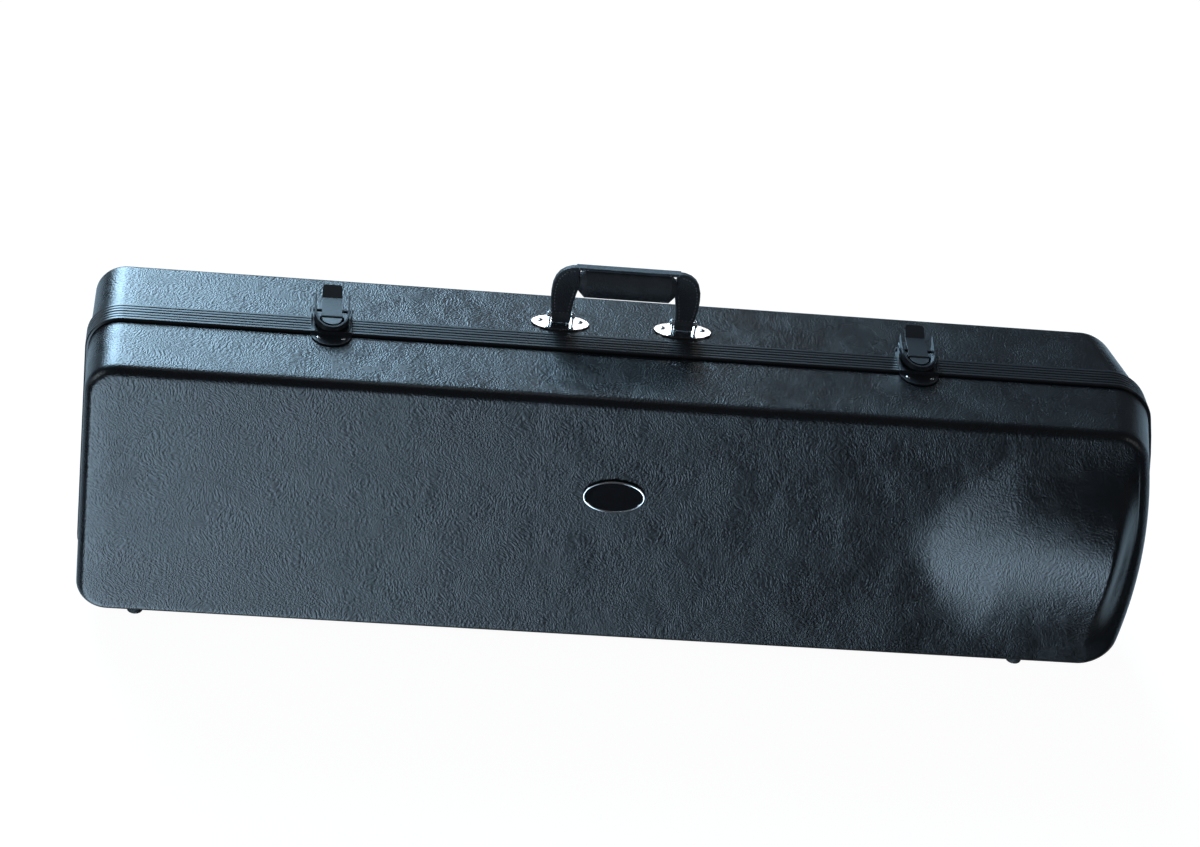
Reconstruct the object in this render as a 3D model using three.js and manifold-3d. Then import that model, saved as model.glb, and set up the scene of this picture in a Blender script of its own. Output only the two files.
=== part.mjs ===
// A moulded hard case for a tenor trombone, standing on its long hinge edge.
// Units are millimetres. X runs along the case with the bell end at +X, Y runs back from the
// front face, Z is up. The two halves meet at the plane y = 0 and the feet stand on z = 0.
import * as THREE from "three";
import { mergeVertices } from "three/addons/utils/BufferGeometryUtils.js";
import Module from "manifold-3d";

const wasm = await Module();
wasm.setup();

// Driving sizes of the two moulded halves
const caseLength = 944;
const caseHeight = 250;
const shellDepth = 88;
const wallThickness = 3;
const cornerRadius = 28;
const faceFillet = 8.5;
const wallDraft = 0.8;
const endBow = 16;
const endPeakDrop = 35;
const endLean = 20;
const shellEdgeSetback = 4.3;
const footHeight = 10;

// The raised cone over the bell
const bellRise = 28;
const bellConeLength = 162;
const bellRimSetback = 47;
const coneOpeningShare = 0.45;

// Clearances and the overrun of every cut
const seatGap = 0.3;
const seamGap = 0.4;
const runningGap = 0.35;
const cutOverrun = 2;

// The ribbed closing rails
const railWidth = 12.6;
const railProud = 3;
const railRibPitch = 3.15;
const railGrooveWidth = 1;
const railGrooveDepth = 0.8;
const railLipReach = 10;
const railLipThickness = 1.5;
const tongueHeight = 1.8;
const tongueThickness = 1.2;
const grooveGap = 0.4;

// The fitted foam lining and its pockets
const liningFacesGap = 1;
const liningBackGap = 2.2;
const bellPocketRadius = 106;
const bellPocketRimSetback = 48;
const bellPocketRimDepth = 4;
const bellPocketLength = 300;
const neckPocketRadius = 19;
const neckPocketReach = 330;
const crookPocketLength = 180;
const crookPocketHeight = 92;
const crookPocketDepth = 26;
const slidePocketLength = 800;
const slidePocketWidth = 28;
const slidePocketDepthBack = 66;
const slidePocketDepthFront = 50;
const slidePocketEndMargin = 18;
const slidePocketEdgeMargin = 16;
const accessoryLength = 150;
const accessoryHeight = 130;
const accessoryDepth = 68;
const accessoryRadius = 14;

// Feet, fittings and their places
const footRadius = 7;
const footFlatRadius = 5.6;
const footFromFace = 20;
const footFromPlainEnd = 52;
const footFromBellEnd = 104;
const fittingsX = -12;
const handleX = -14.5;
const latchSpread = 256;
const handleFromSeam = 33;
const handleSpread = 54;

// The over-centre latches
const latchSheet = 1.2;
const latchWidth = 35;
const latchFront = 31;
const latchRear = 17.5;
const latchRearChamfer = 2.5;
const earThickness = 1.4;
const earPost = 3;
const earHeight = 7.2;
const earWallHeight = 3.4;
const latchPinRadius = 1.4;
const latchPinHead = 0.8;
const latchPinHeadRadius = 2.2;
const latchPinY = 13;
const latchPinZ = 6;
const leverHalfWidth = 15;
const leverFront = 19.7;
const leverFloorBottom = 5.2;
const leverRimTop = 9.4;
const leverRimThickness = 1.6;
const leverFloorRear = 8;
const legRear = 20.5;
const legTop = 18;
const legTipHeight = 4;
const legStepY = 16.5;
const legStepZ = 12.5;
const leverHubRadius = 3;
const cheekThickness = 1.4;
const bossFront = 13.9;
const bossTop = 9;
const clawPivotY = -1.5;
const clawPivotZ = 8.4;
const clawBarrelRadius = 1.5;
const clawHalfWidth = 8.6;
const clawBottom = 7.8;
const clawBendY = 26;
const clawBendZ = 10.4;
const tabReach = 10.5;
const tabRise = 7.4;
const tabCorner = 5;
const strikeFront = 15.5;
const strikeRear = 40;
const strikeHalfWidth = 11;
const hookFront = 22.5;
const hookHalfWidth = 7;
const hookLipLength = 4;
const strikeCorner = 3;

// The carrying handle
const plateHalfLength = 25.5;
const plateHalfWidth = 13;
const plateThickness = 1.4;
const lugThickness = 1.6;
const lugInside = 9.2;
const lugWidth = 8;
const handlePivotHeight = 8.4;
const handlePinRadius = 1.8;
const handlePinHeadRadius = 3;
const handlePinHead = 1.4;
const strapEndWidth = 16;
const strapThickness = 7;
const strapBevel = 1.2;
const strapBulge = 3;
const strapLoopRadius = 4.6;
const archRise = 50.5;
const archBandWidth = 22;
const gripRadius = 13;
const gripLength = 84;
const gripEndRadius = 2.5;
const gripBelowTop = 3;
const gripCoreHalf = 6.5;

// The oval badge plate
const badgeHalfLength = 27;
const badgeHalfHeight = 16;
const badgeThickness = 2;
const badgeRim = 1.6;
const badgeRecess = 0.7;
const badgeX = -18;
const badgeAboveMiddle = 29;

// The hinges under the rails
const hingeWidth = 60;
const hingeLeafReach = 12;
const hingeLeafThickness = 1.2;
const hingeBarrelRadius = 2.6;
const hingePinRadius = 1.2;
const hingeMiddleKnuckle = 22;
const hingeFromPlainEnd = 172;
const hingeFromBellEnd = 196;

// Derived places
const middleZ = footHeight + caseHeight / 2;
const topZ = footHeight + caseHeight;
const railTopZ = topZ + railProud;
const railBottomZ = footHeight - railProud;
const plainEndX = -caseLength / 2;
const bellEndX = caseLength / 2;
const bellX = bellEndX - bellRimSetback;
const bellPocketRimX = bellEndX - bellPocketRimSetback;
const hingePlaces = [plainEndX + hingeFromPlainEnd, fittingsX, bellEndX - hingeFromBellEnd];
const liningInset = wallThickness + seatGap + railLipThickness + seatGap;
const hingeZ = railBottomZ - seatGap - hingeBarrelRadius;
const gripMiddle = archRise - gripBelowTop - gripRadius;

const cornerSteps = 5;
const filletSteps = 3;
const ringShares = [0.85, 0.7, 0.55, 0.41, 0.28, 0.17, 0.08];
const edgeShares = [0.87, 0.77, 0.66, 0.53, 0.25, -0.35];
const endShares = [-0.6, -0.3, 0, 0.3, 0.6];

// Materials
const colours = {
  shell: { color: 0x17191d, roughness: 0.5, metalness: 0 },
  rail: { color: 0x121316, roughness: 0.45, metalness: 0 },
  lining: { color: 0x1b1c20, roughness: 0.95, metalness: 0 },
  blackMetal: { color: 0x0b0b0d, roughness: 0.28, metalness: 0.6 },
  chrome: { color: 0xd9dbde, roughness: 0.15, metalness: 1 },
  leather: { color: 0x16171a, roughness: 0.6, metalness: 0 },
  rubber: { color: 0x0c0c0c, roughness: 0.8, metalness: 0 },
  badge: { color: 0x101114, roughness: 0.35, metalness: 0.2 },
};

const part = new THREE.Group();

function addPiece(name, geometry, finish, parent = part) {
  const mesh = new THREE.Mesh(geometry, new THREE.MeshStandardMaterial(colours[finish]));
  mesh.name = name;
  parent.add(mesh);
  return mesh;
}

// Solids: between three.js geometry and booleans
function solidOf(geometry) {
  const bare = geometry.index ? geometry.toNonIndexed() : geometry.clone();
  bare.deleteAttribute("normal");
  bare.deleteAttribute("uv");
  const merged = mergeVertices(bare);
  const mesh = new wasm.Mesh({
    numProp: 3,
    vertProperties: new Float32Array(merged.attributes.position.array),
    triVerts: new Uint32Array(merged.index.array),
  });
  return new wasm.Manifold(mesh);
}

function geometryOf(solid) {
  const mesh = solid.getMesh();
  const geometry = new THREE.BufferGeometry();
  geometry.setAttribute("position", new THREE.BufferAttribute(new Float32Array(mesh.vertProperties), 3));
  geometry.setIndex(new THREE.BufferAttribute(new Uint32Array(mesh.triVerts), 1));
  geometry.computeVertexNormals();
  return geometry;
}

function join(...geometries) {
  return geometryOf(geometries.map(solidOf).reduce((sum, next) => sum.add(next)));
}

function cut(body, ...tools) {
  return geometryOf(tools.map(solidOf).reduce((rest, tool) => rest.subtract(tool), solidOf(body)));
}

function common(first, second) {
  return geometryOf(solidOf(first).intersect(solidOf(second)));
}

// Basic forms, placed where they are used
function block(x0, x1, y0, y1, z0, z1) {
  const box = new THREE.BoxGeometry(x1 - x0, y1 - y0, z1 - z0);
  return box.translate((x0 + x1) / 2, (y0 + y1) / 2, (z0 + z1) / 2);
}

function rodAlongX(radius, x0, x1, y, z, sides = 12) {
  const rod = new THREE.CylinderGeometry(radius, radius, x1 - x0, sides);
  return rod.rotateZ(Math.PI / 2).translate((x0 + x1) / 2, y, z);
}

// A pin along X with a domed head at each end, its shank running from -reach to +reach
function headedPin(radius, reach, headRadius, head, sides) {
  const profile = [
    [0, -reach - head],
    [headRadius / 2, -reach - head],
    [headRadius, -reach - head / 3],
    [headRadius, -reach],
    [radius, -reach],
    [radius, reach],
    [headRadius, reach],
    [headRadius, reach + head / 3],
    [headRadius / 2, reach + head],
    [0, reach + head],
  ];
  const body = new THREE.LatheGeometry(profile.map(([r, x]) => new THREE.Vector2(r, x)), sides);
  return body.rotateZ(-Math.PI / 2);
}

// A plan outline in X and Y, raised from z0 to z1
function plan(shape, z0, z1, steps = 5) {
  const depth = z1 - z0;
  const body = new THREE.ExtrudeGeometry(shape, { depth, bevelEnabled: false, curveSegments: steps });
  return body.translate(0, 0, z0);
}

// A side outline in Y and Z, carried along X from -halfWidth to +halfWidth
function side(shape, halfWidth, steps = 6) {
  const depth = 2 * halfWidth;
  const body = new THREE.ExtrudeGeometry(shape, { depth, bevelEnabled: false, curveSegments: steps });
  const turn = new THREE.Matrix4().set(0, 0, 1, -halfWidth, 1, 0, 0, 0, 0, 1, 0, 0, 0, 0, 0, 1);
  return body.applyMatrix4(turn);
}

function shapeOf(points) {
  return new THREE.Shape(points.map(([a, b]) => new THREE.Vector2(a, b)));
}

function ellipse(halfLength, halfWidth) {
  return new THREE.Shape().absellipse(0, 0, halfLength, halfWidth, 0, 2 * Math.PI);
}

function roundedRectangle(x0, x1, y0, y1, radius) {
  const shape = new THREE.Shape();
  shape.moveTo(x0 + radius, y0);
  shape.lineTo(x1 - radius, y0);
  shape.absarc(x1 - radius, y0 + radius, radius, -Math.PI / 2, 0);
  shape.lineTo(x1, y1 - radius);
  shape.absarc(x1 - radius, y1 - radius, radius, 0, Math.PI / 2);
  shape.lineTo(x0 + radius, y1);
  shape.absarc(x0 + radius, y1 - radius, radius, Math.PI / 2, Math.PI);
  shape.lineTo(x0, y0 + radius);
  shape.absarc(x0 + radius, y0 + radius, radius, Math.PI, 1.5 * Math.PI);
  return shape;
}

// A closed skin over a list of rings, each with the same count of points.
// Ends given as points close it like a bag, and without ends the last ring meets the first.
function skin(rings, start, end) {
  const points = rings.flat();
  const count = rings[0].length;
  const faces = [];
  const quad = (a, b, c, d) => faces.push(a, b, c, a, c, d);
  const bands = start ? rings.length - 1 : rings.length;
  for (let band = 0; band < bands; band += 1) {
    const low = band * count;
    const high = ((band + 1) % rings.length) * count;
    for (let i = 0; i < count; i += 1) {
      const next = (i + 1) % count;
      quad(low + i, low + next, high + next, high + i);
    }
  }
  if (start) {
    const last = (rings.length - 1) * count;
    points.push(start, end);
    for (let i = 0; i < count; i += 1) {
      const next = (i + 1) % count;
      faces.push(points.length - 2, next, i);
      faces.push(points.length - 1, last + i, last + next);
    }
  }
  const geometry = new THREE.BufferGeometry();
  geometry.setAttribute("position", new THREE.Float32BufferAttribute(points.flat(), 3));
  geometry.setIndex(volumeOf(points, faces) < 0 ? faces.reverse() : faces);
  geometry.computeVertexNormals();
  return geometry;
}

function volumeOf(points, faces) {
  let total = 0;
  for (let i = 0; i < faces.length; i += 3) {
    const [a, b, c] = [0, 1, 2].map((k) => new THREE.Vector3(...points[faces[i + k]]));
    total += a.dot(b.cross(c));
  }
  return total;
}

// The outline of the case in X and Z, drawn in by an inset: round corners and a bell end that bows out
// most a little below its middle.
// lean draws the bell end in, and dense adds the points along the long edges that the bell cone needs.
function caseOutline(inset, lean, dense) {
  const radius = cornerRadius - inset;
  const reachX = (caseLength - endBow) / 2 - cornerRadius;
  const reachZ = caseHeight / 2 - cornerRadius;
  const points = [];
  const corner = (sx, sz, from) => {
    for (let step = 0; step <= cornerSteps; step += 1) {
      const angle = from + (step / cornerSteps) * (Math.PI / 2);
      points.push([sx * reachX + radius * Math.cos(angle), sz * reachZ + radius * Math.sin(angle), sx > 0]);
    }
  };
  const edge = (sz) => {
    if (!dense) return;
    const row = edgeShares.map((share) => [share * reachX, sz * (reachZ + radius)]);
    points.push(...(sz > 0 ? row : row.reverse()));
  };
  corner(1, -1, -Math.PI / 2);
  points.push(...endShares.map((share) => [reachX + radius, share * reachZ, true]));
  corner(1, 1, 0);
  edge(1);
  corner(-1, 1, Math.PI / 2);
  corner(-1, -1, Math.PI);
  edge(-1);
  return points.map(([x, z, atBellEnd]) => {
    const bowed = endBow * (1 - ((z + endPeakDrop) / (caseHeight / 2)) ** 2);
    return [x - endBow / 2 + (atBellEnd ? bowed - lean : 0), z + middleZ];
  });
}

// How far the face stands out over the bell: a cone that opens from a point towards the bell's rim
// and drops back to the end of the case.
function coneRise(x, z) {
  const apexX = bellX - bellConeLength;
  const along = (x - apexX) / bellConeLength;
  if (along <= 0) return 0;
  const faceHalf = caseHeight / 2 - wallDraft - faceFillet;
  const halfWidth = faceHalf * Math.min(1, Math.sqrt(along / coneOpeningShare));
  const across = Math.abs(z - middleZ) / halfWidth;
  if (across >= 1) return 0;
  const dropLength = bellRimSetback - endLean - faceFillet - wallDraft;
  const past = Math.max(0, x - bellX) / dropLength;
  const height = past >= 1 ? 0 : Math.min(1, along) * Math.cos((past * Math.PI) / 2) ** 2;
  return bellRise * height * Math.cos((across * Math.PI) / 2) ** 2;
}

// The walls run straight under the rails and draw in beyond them, by this share of the full draft
function drawnShare(y) {
  return Math.max(0, y - railWidth - seatGap) / (shellDepth - railWidth - seatGap);
}

// The rings of one tray-shaped surface, from the seam edge over the fillet to the middle of the bell cone
function trayRings(inset, depth, fillet, edgeY) {
  const place = (extra, y) => {
    const outline = caseOutline(inset + extra + wallDraft * drawnShare(y), endLean * drawnShare(y), true);
    return outline.map(([x, z]) => [x, y, z]);
  };
  const rings = [place(0, edgeY), place(0, railWidth + seatGap)];
  for (let step = 0; step <= filletSteps; step += 1) {
    const angle = (step / filletSteps) * (Math.PI / 2);
    rings.push(place(fillet * (1 - Math.cos(angle)), depth - fillet * (1 - Math.sin(angle))));
  }
  const rim = rings[rings.length - 1];
  const middle = [bellX - bellRimSetback / 2, depth, middleZ];
  const lifted = (x, z) => [x, depth + coneRise(x, z), z];
  for (const share of ringShares) {
    const towards = (from, to) => from + share * (to - from);
    rings.push(rim.map(([x, , z]) => lifted(towards(middle[0], x), towards(middleZ, z))));
  }
  return { rings, middle: lifted(middle[0], middleZ) };
}

function mirrored([x, y, z]) {
  return [x, -y, z];
}

// One moulded half, open at the seam. The back half is at +Y, the front half is its mirror image.
function moulding(towardsFront) {
  const outer = trayRings(0, shellDepth, faceFillet, shellEdgeSetback);
  const innerFillet = faceFillet - wallThickness;
  const inner = trayRings(wallThickness, shellDepth - wallThickness, innerFillet, shellEdgeSetback);
  const rings = [...outer.rings.toReversed(), ...inner.rings];
  const turn = towardsFront ? mirrored : (point) => point;
  return skin(rings.map((ring) => ring.map(turn)), turn(outer.middle), turn(inner.middle));
}

// A closing rail: a channel that holds the edge of the moulding, ribbed outside, with a groove in the
// back rail and a tongue on the front one.
function closingRail(towardsFront) {
  const face = seamGap / 2;
  const points = [[railProud, face]];
  for (let y = railRibPitch; y < railWidth - railRibPitch / 2; y += railRibPitch) {
    points.push([railProud, y - railGrooveWidth / 2]);
    points.push([railProud - railGrooveDepth, y]);
    points.push([railProud, y + railGrooveWidth / 2]);
  }
  points.push([railProud, railWidth - railGrooveDepth]);
  points.push([railProud - railGrooveDepth, railWidth]);
  const slotBottom = shellEdgeSetback - seatGap;
  points.push([seatGap, railWidth], [seatGap, slotBottom]);
  points.push([-wallThickness - seatGap, slotBottom], [-wallThickness - seatGap, railLipReach]);
  const lip = -wallThickness - seatGap - railLipThickness;
  points.push([lip, railLipReach], [lip, face]);
  const middle = -wallThickness / 2;
  const half = towardsFront ? tongueThickness / 2 : tongueThickness / 2 + grooveGap;
  const level = towardsFront ? -tongueHeight : tongueHeight + grooveGap;
  points.push([middle - half, face], [middle - half, level], [middle + half, level], [middle + half, face]);
  const sign = towardsFront ? -1 : 1;
  const rings = points.map(([out, y]) => {
    return caseOutline(-out, 0, false).map(([x, z]) => [x, sign * y, z]);
  });
  return skin(rings);
}

// The foam lining: a block that fills the half, with pockets for the bell, the crook, the slide
// and small things
function bellPocket() {
  const profile = [[0, bellPocketRimX - bellPocketLength - neckPocketReach]];
  profile.push([neckPocketRadius, bellPocketRimX - bellPocketLength - neckPocketReach]);
  const flareSteps = 8;
  for (let step = 0; step <= flareSteps; step += 1) {
    const share = step / flareSteps;
    const radius = neckPocketRadius + (bellPocketRadius - neckPocketRadius) * share ** 3;
    profile.push([radius, bellPocketRimX - bellPocketLength * (1 - share)]);
  }
  profile.push([bellPocketRadius, bellPocketRimX + bellPocketRimDepth]);
  profile.push([0, bellPocketRimX + bellPocketRimDepth]);
  const lathe = new THREE.LatheGeometry(profile.map(([r, x]) => new THREE.Vector2(r, x)), 24);
  return lathe.rotateZ(-Math.PI / 2).translate(0, 0, middleZ);
}

function crookPocket() {
  const x1 = bellPocketRimX - bellPocketLength;
  const z1 = middleZ + crookPocketHeight;
  const shape = roundedRectangle(x1 - crookPocketLength, x1, middleZ, z1, crookPocketDepth);
  return throughY(shape, -crookPocketDepth, crookPocketDepth);
}

function slidePocket() {
  const x0 = plainEndX + slidePocketEndMargin;
  const z0 = footHeight + slidePocketEdgeMargin;
  const x1 = x0 + slidePocketLength;
  return block(x0, x1, -slidePocketDepthFront, slidePocketDepthBack, z0, z0 + slidePocketWidth);
}

function accessoryPocket() {
  const x0 = plainEndX + slidePocketEndMargin;
  const z1 = topZ - slidePocketEdgeMargin;
  const shape = roundedRectangle(x0, x0 + accessoryLength, z1 - accessoryHeight, z1, accessoryRadius);
  return throughY(shape, -cutOverrun, accessoryDepth);
}

// A shape drawn in X and Z, carried along Y from y0 to y1
function throughY(shape, y0, y1, steps = 4) {
  const depth = y1 - y0;
  const body = new THREE.ExtrudeGeometry(shape, { depth, bevelEnabled: false, curveSegments: steps });
  return body.rotateX(Math.PI / 2).translate(0, y1, 0);
}

function lining(towardsFront) {
  const depth = shellDepth - wallThickness - liningBackGap;
  const outer = trayRings(liningInset, depth, faceFillet - wallThickness, liningFacesGap / 2);
  const flat = [outer.middle[0], liningFacesGap / 2, middleZ];
  const turn = towardsFront ? mirrored : (point) => point;
  const block = skin(outer.rings.map((ring) => ring.map(turn)), turn(flat), turn(outer.middle));
  const tools = [bellPocket(), crookPocket(), slidePocket()];
  if (!towardsFront) tools.push(accessoryPocket());
  return cut(block, ...tools);
}

// Feet of hard rubber, pressed under both halves
function foot(name, x, y) {
  const wallRise = wallDraft * drawnShare(Math.abs(y) - footRadius);
  const height = footHeight + wallRise - seatGap;
  const ease = footRadius - footFlatRadius;
  const profile = [[0, 0], [footFlatRadius, 0], [footRadius - ease / 4, ease / 2]];
  profile.push([footRadius, ease], [footRadius, height], [0, height]);
  const body = new THREE.LatheGeometry(profile.map(([r, z]) => new THREE.Vector2(r, z)), 16);
  addPiece(name, body.rotateX(Math.PI / 2), "rubber").position.set(x, y, 0);
}

// Latch pieces, in a frame whose origin is on the rail's outer face at the seam
function latchBase() {
  const half = latchWidth / 2;
  const bend = railWidth + seatGap;
  const foreshape = new THREE.Shape();
  foreshape.moveTo(-half, latchRear - latchRearChamfer);
  foreshape.lineTo(-half, -bend);
  foreshape.absellipse(0, -bend, half, latchFront - bend, Math.PI, 2 * Math.PI);
  foreshape.lineTo(half, latchRear - latchRearChamfer);
  foreshape.lineTo(half - latchRearChamfer, latchRear);
  foreshape.lineTo(-half + latchRearChamfer, latchRear);
  const low = seatGap - railProud;
  const sheet = shapeOf([
    [latchRear, seatGap],
    [latchRear, seatGap + latchSheet],
    [-bend - latchSheet, seatGap + latchSheet],
    [-bend - latchSheet, low + latchSheet],
    [-latchFront, low + latchSheet],
    [-latchFront, low],
    [-bend, low],
    [-bend, seatGap],
  ]);
  const plate = common(plan(foreshape, low, seatGap + latchSheet), side(sheet, half));
  const ear = new THREE.Shape();
  const top = seatGap + latchSheet + earHeight;
  const round = earHeight / 2;
  const earRear = latchRear - latchRearChamfer;
  ear.moveTo(-bend, seatGap);
  ear.lineTo(earRear, seatGap);
  ear.lineTo(earRear, top - round);
  ear.quadraticCurveTo(earRear, top, earRear - round, top);
  ear.lineTo(earPost, top);
  ear.quadraticCurveTo(earPost - round, top, earPost - earHeight, seatGap + latchSheet + earWallHeight);
  ear.lineTo(-bend, seatGap + latchSheet);
  const ears = [-1, 1].map((s) => side(ear, earThickness / 2).translate(s * (half - earThickness / 2), 0, 0));
  const reach = half + cutOverrun;
  const hole = rodAlongX(latchPinRadius + runningGap, -reach, reach, latchPinY, latchPinZ);
  return cut(join(plate, ...ears), hole);
}

function leverPlan(halfWidth, front, rear) {
  const shape = new THREE.Shape();
  shape.moveTo(halfWidth, rear);
  shape.lineTo(-halfWidth, rear);
  shape.lineTo(-halfWidth, 0);
  shape.absellipse(0, 0, halfWidth, front, Math.PI, 2 * Math.PI);
  return shape;
}

function latchLever() {
  const rimInside = leverHalfWidth - leverRimThickness;
  const floorTop = leverFloorBottom + latchSheet;
  const outline = shapeOf([
    [-leverFront, leverFloorBottom],
    [latchPinY, leverFloorBottom],
    [latchPinY + leverHubRadius, latchPinZ],
    [legStepY, legStepZ],
    [legRear, legTop - legTipHeight],
    [legRear, legTop],
    [-leverFront, leverRimTop],
  ]);
  const bent = plan(leverPlan(leverHalfWidth, leverFront, legRear), leverFloorBottom, legTop);
  const body = common(bent, side(outline, leverHalfWidth));
  const dish = plan(
    leverPlan(rimInside, leverFront - leverRimThickness, legRear + cutOverrun),
    floorTop,
    legTop + cutOverrun,
  );
  const behind = block(
    -rimInside, rimInside, leverFloorRear, legRear + cutOverrun, leverFloorBottom - cutOverrun, legTop,
  );
  const hubs = [-1, 1].map((s) => {
    const x0 = s > 0 ? rimInside : -leverHalfWidth;
    return rodAlongX(leverHubRadius, x0, x0 + leverRimThickness, latchPinY, latchPinZ);
  });
  const cheekInside = clawHalfWidth + runningGap;
  const cheeks = [-1, 1].map((s) => {
    const x0 = s > 0 ? cheekInside : -cheekInside - cheekThickness;
    const [y0, y1] = [clawPivotY - 2 * clawBarrelRadius, clawPivotY + 2 * clawBarrelRadius];
    return block(x0, x0 + cheekThickness, y0, y1, leverFloorBottom, leverRimTop + latchSheet);
  });
  const bossRear = clawPivotY - clawBarrelRadius - 2 * runningGap;
  const bossHalf = clawHalfWidth;
  const bossShape = new THREE.Shape();
  bossShape.moveTo(bossHalf, bossRear);
  bossShape.lineTo(-bossHalf, bossRear);
  bossShape.absellipse(0, bossRear, bossHalf, bossFront + bossRear, Math.PI, 2 * Math.PI);
  const boss = plan(bossShape, leverFloorBottom, bossTop);
  const pinReach = leverHalfWidth + cutOverrun;
  const pinHole = rodAlongX(latchPinRadius + runningGap, -pinReach, pinReach, latchPinY, latchPinZ);
  const stubReach = cheekInside + cheekThickness + cutOverrun / 2;
  const stubHole = rodAlongX(clawBarrelRadius + runningGap, -stubReach, stubReach, clawPivotY, clawPivotZ);
  return cut(join(cut(body, dish, behind), ...hubs, ...cheeks, boss), pinHole, stubHole);
}

function latchClaw() {
  const strip = shapeOf([
    [clawPivotY, clawBottom],
    [clawBendY, clawBendZ],
    [clawBendY + tabReach, clawBendZ + tabRise],
    [clawBendY + tabReach - latchSheet, clawBendZ + tabRise + latchSheet],
    [clawBendY - latchSheet / 2, clawBendZ + latchSheet],
    [clawPivotY, clawBottom + latchSheet],
  ]);
  const rear = clawBendY + tabReach;
  const shape = new THREE.Shape();
  shape.moveTo(clawHalfWidth, clawPivotY);
  shape.lineTo(clawHalfWidth, rear - tabCorner);
  shape.absarc(clawHalfWidth - tabCorner, rear - tabCorner, tabCorner, 0, Math.PI / 2);
  shape.lineTo(tabCorner - clawHalfWidth, rear);
  shape.absarc(tabCorner - clawHalfWidth, rear - tabCorner, tabCorner, Math.PI / 2, Math.PI);
  shape.lineTo(-clawHalfWidth, clawPivotY);
  const top = clawBendZ + tabRise + latchSheet;
  const plate = common(side(strip, latchWidth / 2), plan(shape, clawBottom, top + cutOverrun));
  const barrel = rodAlongX(clawBarrelRadius, -clawHalfWidth, clawHalfWidth, clawPivotY, clawPivotZ);
  const stubReach = clawHalfWidth + cheekThickness + runningGap;
  const stubs = rodAlongX(clawBarrelRadius, -stubReach, stubReach, clawPivotY, clawPivotZ);
  return join(plate, barrel, stubs);
}

function latchStrike() {
  const wallDrop = railProud + wallDraft * drawnShare(strikeFront);
  const low = seatGap - wallDrop;
  const slope = (clawBendZ - clawBottom) / (clawBendY - clawPivotY);
  const lipTop = clawBottom + slope * (hookFront - clawPivotY) - seatGap;
  const profile = shapeOf([
    [strikeFront, low],
    [strikeRear, low],
    [strikeRear, low + latchSheet],
    [hookFront + latchSheet, low + latchSheet],
    [hookFront + latchSheet, lipTop - latchSheet],
    [hookFront + hookLipLength, lipTop - latchSheet],
    [hookFront + hookLipLength, lipTop],
    [hookFront, lipTop],
    [hookFront, low + latchSheet],
    [strikeFront, low + latchSheet],
  ]);
  const shape = roundedRectangle(-strikeHalfWidth, strikeHalfWidth, strikeFront, strikeRear, strikeCorner);
  const flange = common(side(profile, strikeHalfWidth), plan(shape, low, lipTop, 4));
  const keep = [
    block(-strikeHalfWidth, strikeHalfWidth, strikeFront, strikeRear, low, low + latchSheet),
    block(-hookHalfWidth, hookHalfWidth, strikeFront, strikeRear, low, lipTop),
  ];
  return common(flange, join(...keep));
}

function latch(side_, x) {
  const frame = new THREE.Group();
  frame.position.set(x, 0, railTopZ);
  part.add(frame);
  addPiece(`${side_}_latch_base`, latchBase(), "blackMetal", frame);
  const pin = headedPin(latchPinRadius, latchWidth / 2 + seatGap, latchPinHeadRadius, latchPinHead, 12);
  addPiece(`${side_}_latch_pin`, pin.translate(0, latchPinY, latchPinZ), "blackMetal", frame);
  addPiece(`${side_}_latch_lever`, latchLever(), "blackMetal", frame);
  addPiece(`${side_}_latch_claw`, latchClaw(), "blackMetal", frame);
  addPiece(`${side_}_latch_strike`, latchStrike(), "blackMetal", frame);
}

// The handle's plate with its two lugs, in a frame on the top wall
function handlePlate() {
  const oval = plan(ellipse(plateHalfLength, plateHalfWidth), 0, plateThickness, 8);
  const lug = new THREE.Shape();
  const half = lugWidth / 2;
  lug.moveTo(-half, 0);
  lug.lineTo(half, 0);
  lug.lineTo(half, handlePivotHeight);
  lug.absarc(0, handlePivotHeight, half, 0, Math.PI);
  const lugX = lugInside + lugThickness / 2;
  const lugs = [-1, 1].map((s) => side(lug, lugThickness / 2).translate(s * lugX, 0, 0));
  const reach = lugInside + lugThickness + cutOverrun;
  const hole = rodAlongX(handlePinRadius + seatGap, -reach, reach, 0, handlePivotHeight);
  return cut(join(oval, ...lugs), hole);
}

// The strap: two bowed legs looped round the pins, a flat core through the grip between them and a
// band over the grip.
// Its origin is on the pivot axis.
function strapLeg() {
  const endOut = handleSpread + strapEndWidth / 2;
  const endIn = handleSpread - strapEndWidth / 2;
  const gripSide = gripLength / 2 + seatGap;
  const wide = endOut + strapBulge;
  const shape = new THREE.Shape();
  shape.moveTo(endOut, 0);
  shape.quadraticCurveTo(wide, archRise / 4, wide, archRise / 2);
  shape.quadraticCurveTo(wide, archRise, gripSide, archRise);
  shape.lineTo(gripSide, archRise - archBandWidth);
  shape.quadraticCurveTo(endIn, archRise / 4, endIn, 0);
  const body = new THREE.ExtrudeGeometry(shape, {
    depth: strapThickness - 2 * strapBevel,
    bevelThickness: strapBevel,
    bevelSize: strapBevel,
    bevelOffset: -strapBevel,
    bevelSegments: 1,
    curveSegments: 6,
  });
  return body.rotateX(Math.PI / 2).translate(0, strapThickness / 2 - strapBevel, 0);
}

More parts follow.
